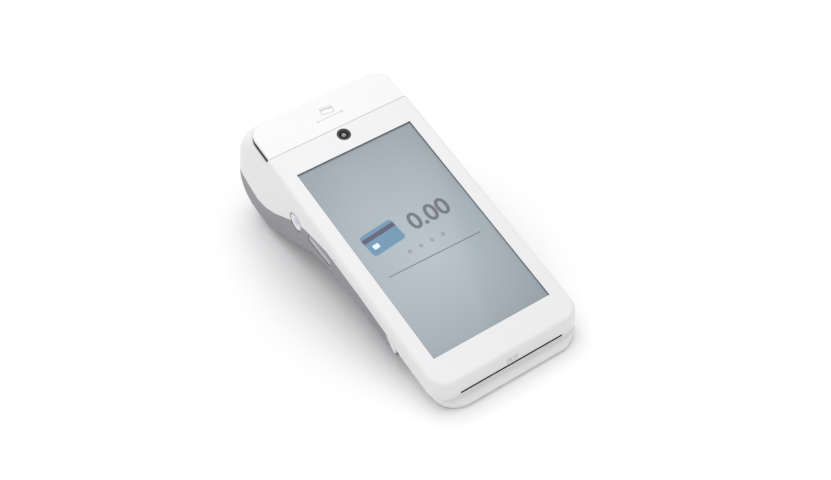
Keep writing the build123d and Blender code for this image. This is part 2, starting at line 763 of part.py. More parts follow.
gear_places, gear_teeth_at = lay_out_train()


def platen_gear():
    return turned(gear(platen_teeth, shaft_radius), gear_x, gear_places["platen"], gear_teeth_at["platen"])


def small_idler():
    return turned(gear(small_teeth, 0.8 + running), gear_x, gear_places["small"], gear_teeth_at["small"])


def large_idler():
    wheel = gear(large_teeth, 1.0 + running)
    for turn in range(5):
        wheel -= Rot(Z=72 * turn) * Pos(7, 0, 0) * Cylinder(2.2, 5)
    return turned(wheel, gear_x, gear_places["large"], gear_teeth_at["large"])


def motor_pinion():
    wheel = turned(gear(pinion_teeth, 0.7), gear_x, gear_places["pinion"], gear_teeth_at["pinion"])
    return wheel + rod(0.75, (plate_x - 9, gear_x + gear_width / 2), motor_y, motor_z)


def idler_axles():
    axles = []
    for name, radius in (("small", 0.8), ("large", 1.0)):
        end = gear_x + gear_width / 2 + 0.9
        axle = rod(radius, (plate_x - frame_plate - 0.4, end), *gear_places[name])
        axles.append(axle + rod(radius + 0.5, (end - 0.7, end), *gear_places[name]))
    return axles


# ---------------------------------------------------------------- receipt printer
def frame_outline(x):
    """One side plate of the printer's frame."""
    plate_block = box(x, (motor_y - 9.2, platen_y + 3.2), (motor_z - 4.5, slot_floor - 4.8))
    plate_block -= box(x, (platen_y + 1.2, platen_y + 4), (platen_z + 3.5, 0))
    plate_block -= box(x, (motor_y - 10, board_high_y + 6), (slot_floor - 7.0, 0))
    return plate_block


def printer_frame():
    """Folded steel frame: two side plates, tied by the motor bridge and the head bridge."""
    inner_x = plate_x - frame_plate
    right = frame_outline((inner_x, plate_x))
    frame = right + mirrored(right)
    frame += across(inner_x, (motor_y - 9.2, motor_y - 8.2), (motor_z - 4.5, slot_floor - 7.0))
    frame += across(inner_x, (platen_y - 8.2, platen_y - 7.2), (slot_floor - 9.2, slot_floor - 8.2))
    frame -= rod(2.2, (-plate_x - 1, plate_x + 1), platen_y, platen_z)
    frame -= rod(1.2, (inner_x - 1, plate_x + 1), motor_y, motor_z)
    for name, radius in (("small", 0.8), ("large", 1.0)):
        frame -= rod(radius, (inner_x - 1, plate_x + 1), *gear_places[name])
    frame -= rod(0.8 + running, (-plate_x - 1, plate_x + 1), pivot_y, pivot_z)
    return frame


def platen_bushings():
    bush = rod(2.2, (plate_x - frame_plate - 0.3, plate_x), platen_y, platen_z)
    bush -= rod(shaft_radius + running, (0, 99), platen_y, platen_z)
    return [bush, mirrored(bush)]


def platen_shaft():
    return rod(shaft_radius, (-plate_x - 0.8, gear_x + gear_width / 2 + 0.3), platen_y, platen_z)


def platen_rubber():
    half = platen_width / 2
    sleeve = rod(platen_radius, (-half, half), platen_y, platen_z)
    return sleeve - rod(shaft_radius, (-40, 40), platen_y, platen_z)


def print_head():
    """Thermal head: ceramic strip on an aluminium heat sink, hung on its pivot rod."""
    top = platen_z + platen_radius + 0.15
    sink = across(plate_x - frame_plate - 0.5, (pivot_y - 1.6, platen_y + 2.2), (top + 0.6, top + 1.7))
    strip = across(29, (platen_y - 3.0, platen_y + 1.6), (top, top + 0.6))
    knuckle = rod(1.5, (-plate_x + frame_plate + 0.5, plate_x - frame_plate - 0.5), pivot_y, pivot_z)
    return sink + strip + knuckle - rod(0.8 + running, (-40, 40), pivot_y, pivot_z)


def head_pivot():
    return rod(0.8, (-plate_x - 0.2, plate_x + 0.2), pivot_y, pivot_z)


def head_springs():
    """Coil springs that press the head to the platen, shown as closed tubes."""
    top = platen_z + platen_radius + 0.15 + 1.7
    return [post(1.6, x, platen_y - 1, (top + 0.35, slot_floor - guide_thick - fit - 1.45))
            - post(1.1, x, platen_y - 1, (top, 0)) for x in (-20, 20)]


def stepper_motor():
    inner_x = plate_x - frame_plate
    can = rod(motor_radius, (inner_x - 9.5, inner_x - 0.2), motor_y, motor_z)
    return can - rod(0.75 + running, (0, 60), motor_y, motor_z)


def tear_bar():
    """Serrated steel strip along the upper edge of the paper slot."""
    z = paper_slot_z + 0.45
    end_wall_y = cap_end - bulge_reach * z / crown_drop - 0.9
    strip = across(29, (end_wall_y - 3.0, end_wall_y + 0.6), (z, z + 0.4))
    teeth = [Pos(1.9 * place, end_wall_y + 0.6, z + 0.2) * Rot(Z=45) * Box(0.8, 0.8, 0.4) for place in range(-14, 15)]
    return strip + teeth


def paper_core():
    core = rod(core_radius, (-roll_width / 2, roll_width / 2), roll_y, roll_z)
    return core - rod(core_bore, (-40, 40), roll_y, roll_z)


def paper_roll():
    half = roll_width / 2
    roll = rod(roll_radius, (-half, half), roll_y, roll_z)
    return roll - rod(core_radius, (-40, 40), roll_y, roll_z)


def paper_cradle():
    """Curved tray over the roll that keeps paper away from the electronics."""
    radius = roll_radius + 1.2
    half = roll_width / 2 + 0.5
    shell = rod(radius + 0.9, (-half - 0.8, half + 0.8), roll_y, roll_z)
    shell -= rod(radius, (-half, half), roll_y, roll_z)
    keep = across(60, (roll_y - 30, roll_y + 4.5), (roll_z + 8.0, 0))
    cradle = shell & keep
    for x in ((-half - 0.8, -half), (half, half + 0.8)):
        spindle = x[1] if x[0] < 0 else x[0]
        inward = 1.6 if x[0] < 0 else -1.6
        arm = box(x, (roll_y - 3, roll_y + 3), (roll_z, roll_z + radius))
        cradle += arm + rod(3.0, x, roll_y, roll_z)
        cradle += rod(2.6, tuple(sorted((spindle, spindle + inward))), roll_y, roll_z)
    return cradle


# ---------------------------------------------------------------- assembly
def assembly():
    pads, carrier = dock_contacts()
    return {
        "front_housing": front_housing(), "rear_housing": rear_housing(),
        "battery_cover": battery_cover(), "printer_door": printer_door(),
        "swipe_cover": swipe_cover(), "swipe_guide": swipe_guide(),
        "magnetic_head": mag_head(), "magnetic_head_bracket": head_bracket(),
        "screen_gasket": screen_gasket(), "touch_glass": touch_glass(),
        "display_panel": display_panel(), "screen_tray": screen_tray(),
        "front_camera": front_camera(), "camera_ring": camera_ring(), "camera_window": camera_window(),
        "main_board": main_board(), "board_screws": board_screws(), "shield_cans": shield_cans(),
        "coin_cell": coin_cell(), "sam_sockets": sam_sockets(), "vibration_motor": vibration_motor(),
        "speaker": speaker(), "antenna_coil": antenna_coil(), "paper_cradle": paper_cradle(),
        "chip_card_reader": card_reader(), "reader_contacts": reader_contacts(),
        "usb_socket": usb_socket(), "microphone": microphone(),
        "battery_pack": battery_pack(), "battery_contacts": battery_contacts(),
        "dock_contact_pads": pads, "dock_contact_carrier": carrier,
        "slim_end_feet": [slim_foot(x) for x in (-foot_x, foot_x)],
        "door_feet": [door_foot(x) for x in (-foot_x, foot_x)],
        "housing_screws": housing_screws(),
        "power_button": side_key(*side_keys["power_button"]),
        "volume_key": side_key(*side_keys["volume_key"]), "key_switches": key_switches(),
        "port_flap": port_flap(), "side_cap_right": side_cap(1), "side_cap_left": side_cap(-1),
        "door_latch": door_latch(), "door_hinge_pins": hinge_pins(),
        "printer_frame": printer_frame(), "platen_bushings": platen_bushings(),
        "platen_shaft": platen_shaft(), "platen_rubber": platen_rubber(), "platen_gear": platen_gear(),
        "small_idler_gear": small_idler(), "large_idler_gear": large_idler(),
        "motor_pinion": motor_pinion(), "idler_axles": idler_axles(), "stepper_motor": stepper_motor(),
        "print_head": print_head(), "head_pivot_rod": head_pivot(), "head_springs": head_springs(),
        "tear_bar": tear_bar(), "paper_roll": paper_roll(), "paper_core": paper_core(),
    }


def as_compound(piece):
    if isinstance(piece, list):
        return Compound([solid for item in piece for solid in item.solids()])
    solids = piece.solids()
    return solids[0] if len(solids) == 1 else Compound(list(solids))


def laid_down():
    """Every piece tipped on to the feet, and the move that puts the origin under the middle."""
    pieces = {name: Rot(X=lie_angle) * as_compound(piece) for name, piece in assembly().items()}
    everything = Compound(list(pieces.values())).bounding_box()
    to_feet = Pos(0, -(everything.min.Y + everything.max.Y) / 2, -everything.min.Z)
    return pieces, to_feet


if __name__ == "__main__":
    pieces, to_feet = laid_down()
    for name, piece in pieces.items():
        print(name, len(piece.solids()), round(piece.volume, 1), piece.is_valid)
        export_step(to_feet * piece, f"parts/{name}.step")
    print("origin shift", to_feet.position, "lying angle", lie_angle, "nodes", len(pieces))
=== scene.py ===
# %% [markdown]
# A handheld card payment terminal lies on its back on a pale table, screen up.
# The casings, keys, gears and electronics arrive as finished solids from the frame file, so this
# lesson gives them their finishes, adds what is printed or lit on them, and sets up the studio.

# %% Load the frame
from math import atan2, degrees, pi, radians

import bpy
from mathutils import Matrix, Vector


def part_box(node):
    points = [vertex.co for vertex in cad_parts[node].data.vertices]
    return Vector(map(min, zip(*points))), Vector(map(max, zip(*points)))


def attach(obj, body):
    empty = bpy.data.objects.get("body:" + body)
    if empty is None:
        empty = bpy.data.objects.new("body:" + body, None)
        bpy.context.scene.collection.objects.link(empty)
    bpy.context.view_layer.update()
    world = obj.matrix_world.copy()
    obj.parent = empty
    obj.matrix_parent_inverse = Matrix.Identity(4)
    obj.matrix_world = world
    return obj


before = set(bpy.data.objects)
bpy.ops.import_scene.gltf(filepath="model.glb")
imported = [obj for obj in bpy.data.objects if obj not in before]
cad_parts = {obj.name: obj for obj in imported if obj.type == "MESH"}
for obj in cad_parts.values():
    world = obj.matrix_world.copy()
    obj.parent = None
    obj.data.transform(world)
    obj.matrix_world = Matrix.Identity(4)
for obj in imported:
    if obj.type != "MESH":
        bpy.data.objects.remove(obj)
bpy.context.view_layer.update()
mm = 0.001

# %% [markdown]
# Most things on the terminal are square to its face, which lies tilted, because the thick printer
# end lifts it. One matrix takes a place on the face, counted from the middle of the screen window,
# to the place in the room, so every later cell can think in the face's own flat coordinates.
# The tilt is read from the glass: its widest facet gives the direction of the face. The products in
# the formula keep the tilt the same whichever way that facet points.

# %% The face's own coordinates
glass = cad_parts["touch_glass"].data
widest = max(glass.polygons, key=lambda facet: facet.area)
tilt = atan2(-widest.normal.y * widest.normal.z, widest.normal.z ** 2)
face_turn = Matrix.Rotation(tilt, 4, "X")
flat = [face_turn.inverted() @ vertex.co for vertex in glass.vertices]
glass_low = Vector([min(point[axis] for point in flat) for axis in range(3)])
glass_high = Vector([max(point[axis] for point in flat) for axis in range(3)])
glass_drop = 1.1 * mm
window_middle = (0, (glass_low.y + glass_high.y) / 2, glass_high.z + glass_drop)
on_face = face_turn @ Matrix.Translation(window_middle)
print("tilt", round(degrees(tilt), 3))
print("middle of the window", tuple(round(value, 5) for value in on_face.translation))
print("glass size", tuple(round(value, 5) for value in glass_high - glass_low))

# %% [markdown]
# The camera stands in front and to the left, about 0.66 m away, and looks down at the screen with a
# lens long enough to keep the terminal's long sides nearly parallel. Its place is given on the face.

# %% Camera
camera_place = Vector((-250.35, -270.30, 552.22)) * mm
camera_aim = Vector((-4.01, -1.43, 0)) * mm
camera_roll = radians(-5.6008)
camera_data = bpy.data.cameras.new("camera")
camera_data.lens = 64.40
camera_data.sensor_width = 36.0
camera = bpy.data.objects.new("camera", camera_data)
bpy.context.collection.objects.link(camera)
camera.location = on_face @ camera_place
line_of_sight = (on_face @ camera_aim) - camera.location
look = line_of_sight.to_track_quat("-Z", "Y").to_matrix().to_4x4()
camera.matrix_world = Matrix.Translation(camera.location) @ look @ Matrix.Rotation(camera_roll, 4, "Z")
bpy.context.scene.camera = camera
print("camera", tuple(round(value, 4) for value in camera.matrix_world.translation))

# %% [markdown]
# A white thing on a white table needs a floor that is nearly as bright as the object, a large soft
# light above, and only a little contrast from one side, so the faces stay readable. The world gives
# most of the fill, and one area light shapes it.

# %% Floor, world and lights
bpy.ops.object.select_all(action="DESELECT")
bpy.ops.mesh.primitive_plane_add(size=6.0, location=(0, 0, 0))
floor = bpy.context.active_object
floor.name = "floor"

world = bpy.data.worlds.new("studio")
world.use_nodes = True
world.node_tree.nodes["Background"].inputs["Color"].default_value = (0.985, 0.985, 1.0, 1)
world.node_tree.nodes["Background"].inputs["Strength"].default_value = 0.86
bpy.context.scene.world = world
bpy.context.scene.view_settings.view_transform = "Standard"


def softbox(name, place, size, power, aim=(0, 0, 0.03)):
    """A square area light at a place, turned towards the terminal."""
    data = bpy.data.lights.new(name, "AREA")
    data.size = size
    data.energy = power
    lamp = bpy.data.objects.new(name, data)
    bpy.context.collection.objects.link(lamp)
    lamp.location = place
    lamp.rotation_euler = (Vector(aim) - Vector(place)).to_track_quat("-Z", "Y").to_euler()
    return lamp


softbox("overhead_softbox", (0.05, 0.50, 1.30), 1.2, 7.0)

# %% [markdown]
# Shader maths reads best as ordinary sums. This class holds one output socket and turns Python's
# operators into Math nodes. A shader is then written like a formula, with no loose nodes to follow.


# %% Shader helper
class Wire:
    """An output socket that can be added, multiplied and compared."""

    def __init__(self, material, socket):
        self.material = material
        self.socket = socket

    def math(self, operation, *values):
        sockets = {0: self, **dict(enumerate(values, 1))}
        return self.material.node("ShaderNodeMath", {"operation": operation}, sockets)

    def __add__(self, other):
        return self.math("ADD", other)

    def __sub__(self, other):
        return self.math("SUBTRACT", other)

    def __mul__(self, other):
        return self.math("MULTIPLY", other)

    def __rsub__(self, other):
        return self.material.node("ShaderNodeMath", {"operation": "SUBTRACT"}, {0: other, 1: self})

    __radd__ = __add__
    __rmul__ = __mul__

    def __lt__(self, other):
        return self.math("LESS_THAN", other)

    def __gt__(self, other):
        return self.math("GREATER_THAN", other)


class Finish:
    """A material with its Principled shader, and a short way to add nodes."""

    def __init__(self, name, color, roughness, **fixed):
        self.material = bpy.data.materials.new(name)
        self.material.use_nodes = True
        self.tree = self.material.node_tree
        self.shader = self.tree.nodes["Principled BSDF"]
        self.color = (*color, 1.0)
        self.set("Base Color", self.color)
        self.set("Roughness", roughness)
        for socket, value in fixed.items():
            self.set(socket.replace("_", " "), value)

    def set(self, socket, value):
        target = self.shader.inputs[socket]
        if isinstance(value, Wire):
            self.tree.links.new(value.socket, target)
        else:
            target.default_value = value

    def node(self, kind, settings=None, sockets=None, output=0):
        made = self.tree.nodes.new(kind)
        for key, value in (settings or {}).items():
            if key == "ramp":
                stops = made.color_ramp.elements
                while len(stops) < len(value):
                    stops.new(0.5)
                for stop, (place, color) in zip(stops, value):
                    stop.position, stop.color = place, (*color, 1.0)
            else:
                setattr(made, key, value)
        for key, value in (sockets or {}).items():
            if isinstance(value, Wire):
                self.tree.links.new(value.socket, made.inputs[key])
            else:
                made.inputs[key].default_value = value
        return Wire(self, made.outputs[output])

    def place(self):
        """Object coordinates, in metres."""
        return self.node("ShaderNodeTexCoord", output="Object")

    def noise(self, scale, detail=3.0, roughness=0.55):
        sockets = {"Vector": self.place(), "Scale": scale, "Detail": detail, "Roughness": roughness}
        return self.node("ShaderNodeTexNoise", None, sockets, output="Fac")

    def mix(self, factor, first, second):
        sockets = {0: factor, 6: first, 7: second}
        return self.node("ShaderNodeMix", {"data_type": "RGBA"}, sockets, output=2)

    def bump(self, height, strength, distance):
        sockets = {"Strength": strength, "Distance": distance, "Height": height}
        self.set("Normal", self.node("ShaderNodeBump", None, sockets))


print("shader helper ready")

# %% [markdown]
# The casings are injection-moulded plastic. Up close such a shell has a fine spark-eroded grain,
# a slow wave in its gloss where the mould was polished, and a faint change of tone from handling.
# Three noises at three scales say all of that: tone, gloss and grain.


# %% Moulded plastics
def moulded(name, color, roughness=0.38, grain=0.35, shade=0.03, coat=0.0):
    finish = Finish(name, color, roughness, Coat_Roughness=0.2, IOR=1.48)
    slow = finish.noise(22.0)
    darker = tuple(channel * (1 - shade) for channel in color)
    finish.set("Base Color", finish.mix(slow, (*color, 1), (*darker, 1)))
    finish.set("Roughness", finish.noise(60.0, 4.0) * 0.10 + (roughness - 0.05))
    finish.set("Coat Weight", coat)
    finish.bump(finish.noise(2600.0, 2.0), grain, 0.00002)
    return finish.material


white_shell = moulded("white_shell_plastic", (0.795, 0.79, 0.792), 0.36, coat=0.12)
white_cap = moulded("white_cap_plastic", (0.835, 0.832, 0.83), 0.30, coat=0.18)
grey_shell = moulded("grey_back_plastic", (0.245, 0.245, 0.258), 0.42)
# Dark grey plastic for the door latch and the paper cradle; on the swipe guide the same dark grey is painted
# shade inside the swipe slot under the cap plate.
dark_plastic_and_slot_shade = moulded("dark_plastic_and_painted_slot_shade", (0.10, 0.10, 0.105), 0.5)
black_trim = moulded("black_trim", (0.012, 0.012, 0.014), 0.4)
gear_nylon = moulded("gear_nylon", (0.72, 0.69, 0.60), 0.45)
print("plastics", white_shell.name, grey_shell.name)

# %% [markdown]
# Rubber is duller than plastic and never quite even: it picks up dust in a coarse mottle.
# Paper is duller still, with fibres, and on a roll its cut edge shows the wound layers as rings.


# %% Rubber, paper and card
def rubbery(name, color, roughness=0.75):
    finish = Finish(name, color, roughness, IOR=1.5)
    mottle = finish.noise(180.0, 5.0)
    lighter = tuple(channel * 1.35 + 0.01 for channel in color)
    finish.set("Base Color", finish.mix(mottle, (*color, 1), (*lighter, 1)))
    finish.set("Roughness", mottle * 0.16 + (roughness - 0.08))
    finish.bump(finish.noise(1500.0), 0.5, 0.00004)
    return finish.material


def wound_layers(name, color, pitch):
    """Paper wound on a core: rings about the roll's axle on the cut ends."""
    low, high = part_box("paper_roll")
    finish = Finish(name, color, 0.85)
    middle = (low + high) / 2
    centred = finish.node("ShaderNodeMapping", None, {"Vector": finish.place(), "Location": -middle})
    away = finish.node("ShaderNodeVectorMath", {"operation": "MULTIPLY"}, {0: centred, 1: (0, 1, 1)})
    radius = finish.node("ShaderNodeVectorMath", {"operation": "LENGTH"}, {0: away}, output="Value")
    ring = (radius * (2 * pi / pitch)).math("SINE") * 0.5 + 0.5
    darker = tuple(channel * 0.86 for channel in color)
    finish.set("Base Color", finish.mix(ring, (*darker, 1), (*color, 1)))
    finish.bump(ring, 0.3, 0.00005)
    return finish.material


black_rubber = rubbery("black_rubber", (0.025, 0.025, 0.026))
flap_rubber = rubbery("flap_rubber", (0.40, 0.40, 0.42), 0.6)
roll_paper = wound_layers("thermal_paper", (0.90, 0.90, 0.88), 0.0006)
core_card = rubbery("core_card", (0.33, 0.24, 0.16), 0.8)
print("soft finishes", black_rubber.name, roll_paper.name)


# %% [markdown]
# Metals inside the terminal are plated or brushed. Brushing is a noise squeezed hard along one
# direction, so that it makes long fine scratches, and it feeds the roughness and a slight bump.


# %% Metals, boards and battery
def brushed(name, color, roughness=0.32, stretch=(1.0, 14.0, 14.0)):
    finish = Finish(name, color, roughness, Metallic=1.0)
    squeezed = finish.node("ShaderNodeMapping", None, {"Vector": finish.place(), "Scale": stretch})
    sockets = {"Vector": squeezed, "Scale": 260.0, "Detail": 4.0}
    scratch = finish.node("ShaderNodeTexNoise", None, sockets, output="Fac")
    darker = tuple(channel * 0.8 for channel in color)
    finish.set("Base Color", finish.mix(scratch, (*darker, 1), (*color, 1)))
    finish.set("Roughness", scratch * 0.2 + (roughness - 0.1))
    finish.bump(scratch, 0.2, 0.00002)
    return finish.material


def board_finish():
    """Green solder mask with a faint weave and tracks that show as slightly lighter lines."""
    finish = Finish("board_solder_mask", (0.01, 0.11, 0.05), 0.3, Coat_Roughness=0.1)
    sockets = {"Vector": finish.place(), "Scale": 420.0}
    cells = finish.node("ShaderNodeTexVoronoi", {"distance": "MANHATTAN"}, sockets, output="Distance")
    track = cells < 0.18
    finish.set("Base Color", finish.mix(track, (0.01, 0.10, 0.045, 1), (0.03, 0.19, 0.09, 1)))
    finish.bump(cells, 0.3, 0.00004)
    return finish.material


steel = brushed("plated_steel", (0.62, 0.62, 0.64))
aluminium = brushed("brushed_aluminium", (0.80, 0.80, 0.81), 0.36)
gold = brushed("gold_plate", (0.94, 0.72, 0.30), 0.22)
copper = brushed("copper_foil", (0.86, 0.50, 0.30), 0.28)
board_green = board_finish()
battery_wrap = moulded("battery_wrap", (0.03, 0.035, 0.05), 0.35)
print("metals", steel.name, gold.name)

# %% [markdown]
# Behind the glass the display is switched on, so its colour is mostly its own light. It is a soft blue-grey
# picture with slow clouds in it, and a painted glare of reflected light makes it a little lighter towards the
# middle. The shader mixes two tones by a large noise, then paints that glare as a lighter tone by distance
# from a point near the middle, and sends part of it to emission so that the screen keeps its colour whatever
# the studio does. A clear coat makes the glass.


# %% Lit screen glass
def lit_screen():
    finish = Finish("lit_screen_glass", (0.36, 0.42, 0.46), 0.16, IOR=1.5, Coat_Roughness=0.04)
    clouds = finish.noise(22.0, 1.5, 0.4)
    # A painted glare: the tone lightens towards this point to stand in for light reflected on the glass.
    glare_centre = on_face @ Vector((-2 * mm, -8 * mm, 0))
    offset = finish.node("ShaderNodeMapping", None, {"Vector": finish.place(), "Location": -glare_centre})
    distance = finish.node("ShaderNodeVectorMath", {"operation": "LENGTH"}, {0: offset}, output="Value")
    glare_lift = 1.02 - distance * 15.5 + (clouds - 0.5) * 0.35
    cool, green, light = (0.25, 0.315, 0.38, 1), (0.30, 0.35, 0.355, 1), (0.44, 0.515, 0.57, 1)
    cloudy = finish.mix(clouds, cool, green)
    glow = finish.mix(glare_lift.math("MAXIMUM", 0.0), cloudy, light)
    shade = finish.node("ShaderNodeMix", {"data_type": "RGBA", "blend_type": "MULTIPLY"},
                        {0: 1.0, 6: glow, 7: (0.27, 0.27, 0.27, 1)}, output=2)
    finish.set("Base Color", shade)
    finish.set("Emission Color", glow)
    finish.set("Emission Strength", 0.60)
    finish.set("Coat Weight", 0.35)
    return finish.material


def tinted_lens():
    finish = Finish("tinted_lens", (0.06, 0.06, 0.065), 0.1, IOR=1.6, Coat_Weight=1.0)
    finish.set("Base Color", finish.mix(finish.noise(900.0), (0.05, 0.05, 0.055, 1), (0.10, 0.10, 0.11, 1)))
    return finish.material


screen_glass = lit_screen()
lens_glass = tinted_lens()
print("glass", screen_glass.name)

# %% [markdown]
# The round caps at the waist are dished like coins. Their rim carries a painted dark line of shade against
# the casing, and the dish carries a painted reflection of the cool side of the room. Both depend only on the
# distance from the cap's own middle, so that distance drives a colour ramp.


# %% Dished caps, with painted shade and a painted reflection
def dished_cap_painted_light():
    finish = Finish("dished_cap_painted_light", (0.80, 0.80, 0.82), 0.22, Coat_Roughness=0.1)
    low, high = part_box("side_cap_left")
    cap_radius = 5.0 * mm
    offset = finish.node("ShaderNodeMapping", None, {"Vector": finish.place(), "Location": -(low + high) / 2})
    across = finish.node("ShaderNodeVectorMath", {"operation": "MULTIPLY"}, {0: offset, 1: (0, 1, 1)})
    radius = finish.node("ShaderNodeVectorMath", {"operation": "LENGTH"}, {0: across}, output="Value")
    share = radius * (1 / cap_radius) + finish.noise(500.0) * 0.03
    # The bluish stops in the middle paint a reflection of the cool side of the room, and the dark stop near
    # the rim paints shade against the casing.
    stops = [(0.0, (0.42, 0.48, 0.62)), (0.35, (0.60, 0.64, 0.74)), (0.62, (0.80, 0.80, 0.82)),
             (0.80, (0.72, 0.72, 0.74)), (0.90, (0.22, 0.22, 0.24)), (0.98, (0.45, 0.45, 0.47))]
    finish.set("Base Color", finish.node("ShaderNodeValToRGB", {"ramp": stops}, {"Fac": share}))
    finish.set("Roughness", finish.noise(60.0) * 0.1 + 0.2)
    finish.bump(finish.noise(2600.0), 0.2, 0.00002)
    return finish.material


cap_with_painted_light = dished_cap_painted_light()
print("dished caps", cap_with_painted_light.name)

# %% [markdown]
# Each solid that came with the frame gets one of these finishes. A table from finish to names is
# the shortest honest way to say it, and a check at the end makes sure that none was forgotten.

# %% Finish every piece of the frame
wardrobe = {
    white_shell: ("front_housing", "rear_housing", "power_button", "volume_key"),
    cap_with_painted_light: ("side_cap_right", "side_cap_left"),
    white_cap: ("swipe_cover",),
    grey_shell: ("battery_cover", "printer_door"),
    # The swipe guide's dark grey paints the shade inside the swipe slot.
    dark_plastic_and_slot_shade: ("swipe_guide", "door_latch", "paper_cradle"),
    black_trim: ("screen_gasket", "camera_ring", "front_camera", "sam_sockets", "speaker",
                 "chip_card_reader", "dock_contact_carrier", "key_switches", "display_panel"),
    screen_glass: ("touch_glass",),
    lens_glass: ("camera_window",),
    gear_nylon: ("platen_bushings", "platen_gear", "small_idler_gear", "large_idler_gear",
                 "print_head"),
    black_rubber: ("slim_end_feet", "door_feet", "platen_rubber"),
    flap_rubber: ("port_flap",),
    roll_paper: ("paper_roll",),
    core_card: ("paper_core",),
    aluminium: ("screen_tray",),
    gold: ("reader_contacts", "battery_contacts", "dock_contact_pads", "microphone"),
    copper: ("antenna_coil",),
    board_green: ("main_board",),
    battery_wrap: ("battery_pack",),
    steel: ("magnetic_head", "magnetic_head_bracket", "board_screws", "shield_cans", "coin_cell",
            "vibration_motor", "usb_socket", "housing_screws", "door_hinge_pins", "printer_frame",
            "platen_shaft", "motor_pinion", "idler_axles", "stepper_motor", "head_pivot_rod",
            "head_springs", "tear_bar"),
}
dressed = set()
for material, names in wardrobe.items():
    for name in names:
        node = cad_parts[name]
        node.data.materials.clear()
        node.data.materials.append(material)
        dressed.add(name)
print("without a finish:", sorted(set(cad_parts) - dressed))

# %% [markdown]
# What is printed on the terminal, and what its screen shows, are flat things with clean edges. Each could be
# painted by a shader mask, but a thin plate of its own keeps its edge sharp at any distance and is a real
# shape in the scene. So every mark is a plate a few hundredths of a millimetre thick, cut from a plane: its
# corners are bevelled, it is inset if it is an outline, and it is extruded.


# %% Thin marks
def only(piece):
    """Leave edit mode and select one piece alone."""
    if bpy.context.mode != "OBJECT":
        bpy.ops.object.mode_set(mode="OBJECT")
    bpy.ops.object.select_all(action="DESELECT")
    piece.select_set(True)
    bpy.context.view_layer.objects.active = piece


def placed(piece, where):
    """Take a piece to its place, and put that place into its mesh."""
    piece.matrix_world = where @ piece.matrix_world
    only(piece)
    bpy.ops.object.transform_apply(location=True, rotation=True, scale=True)
    return piece


def settle(piece, where, name, finish):
    """Place a finished piece, give it its finish, and let it ride on the casing."""
    piece.name = name
    placed(piece, where)
    piece.data.materials.clear()
    piece.data.materials.append(finish)
    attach(piece, "casing")
    return piece


def thicken(thick):
    """Extrude the flat shape that is in edit mode, turn its faces outwards, and leave edit mode."""
    bpy.ops.mesh.select_all(action="SELECT")
    bpy.ops.mesh.extrude_region_move(TRANSFORM_OT_translate={"value": (0, 0, thick * mm)})
    bpy.ops.mesh.select_all(action="SELECT")
    bpy.ops.mesh.normals_make_consistent(inside=False)
    bpy.ops.object.mode_set(mode="OBJECT")
    return bpy.context.active_object


def thin_plate(width, height, corner, thick, outline=0.0):
    """A rounded plate in millimetres, its middle at zero; outline leaves only a frame."""
    bpy.ops.object.select_all(action="DESELECT")
    bpy.ops.mesh.primitive_plane_add(size=1.0)
    bpy.context.active_object.scale = (width * mm, height * mm, 1)
    bpy.ops.object.transform_apply(scale=True)
    bpy.ops.object.mode_set(mode="EDIT")
    bpy.ops.mesh.select_all(action="SELECT")
    if corner:
        bpy.ops.mesh.bevel(offset=corner * mm, segments=6, affect="VERTICES")
    bpy.ops.mesh.select_all(action="SELECT")
    if outline:
        bpy.ops.mesh.inset(thickness=outline * mm)
        bpy.ops.mesh.delete(type="FACE")
    return thicken(thick)


def at(x, y, z=0.0, turn=0.0):
    """A place on a flat surface in millimetres, with a turn in degrees about its normal."""
    return Matrix.Translation((x * mm, y * mm, z * mm)) @ Matrix.Rotation(radians(turn), 4, "Z")


def join(pieces):
    """Make several pieces one."""
    only(pieces[0])
    for piece in pieces:
        piece.select_set(True)
    bpy.ops.object.join()
    return bpy.context.active_object


print("mark tools ready")

# %% [markdown]
# Printed ink is a little uneven, so its tone follows a fine noise. The marks on the display give
# their own light, as the picture around them does.


# %% Inks
def ink(name, color, glow=0.0, roughness=0.5):
    finish = Finish(name, color, roughness)
    lighter = tuple(channel * 1.12 + 0.01 for channel in color)
    tone = finish.mix(finish.noise(700.0, 4.0), (*color, 1), (*lighter, 1))
    finish.set("Base Color", tone)
    if glow:
        finish.set("Emission Color", tone)
        finish.set("Emission Strength", glow)
    finish.bump(finish.noise(2500.0), 0.1, 0.00001)
    return finish.material


screen_blue = ink("screen_blue", (0.085, 0.20, 0.31), 0.18, 0.25)
screen_navy = ink("screen_navy", (0.05, 0.05, 0.10), 0.1, 0.25)
screen_grey = ink("screen_grey", (0.10, 0.11, 0.135), 0.12, 0.25)
screen_pale = ink("screen_pale", (0.45, 0.52, 0.56), 0.5, 0.25)
cap_ink = ink("cap_ink", (0.50, 0.50, 0.50))
warm_ink = ink("warm_ink", (0.40, 0.38, 0.34))
print("inks", screen_blue.name, cap_ink.name)

# %% [markdown]
# The display shows that it waits for a card: a card with its stripe and chip, the amount so far,
# four places for a number, and a ruled line below them.

# %% Picture on the display
screen_level = on_face @ Matrix.Translation((0, 0, -glass_drop))
mark_thick = 0.03

on_screen = screen_level @ at(-15.6, 7.6, 0.0, 6)
on_card = screen_level @ at(-15.6, 7.6, mark_thick, 6)

card = thin_plate(18.0, 12.0, 1.7, mark_thick)
settle(card, on_screen, "screen_card", screen_blue)
stripe = thin_plate(18.0, 2.3, 0, mark_thick)
settle(stripe, on_card @ at(0, 2.9), "screen_card_stripe", screen_navy)
chip_mark = thin_plate(3.2, 2.5, 0.5, mark_thick)
settle(chip_mark, on_card @ at(-5.1, -1.9), "screen_card_chip", screen_pale)
ruled = thin_plate(49.0, 0.42, 0, mark_thick)
settle(ruled, screen_level @ at(-0.2, -11.6, 0.0, -1.0), "screen_rule", screen_grey)

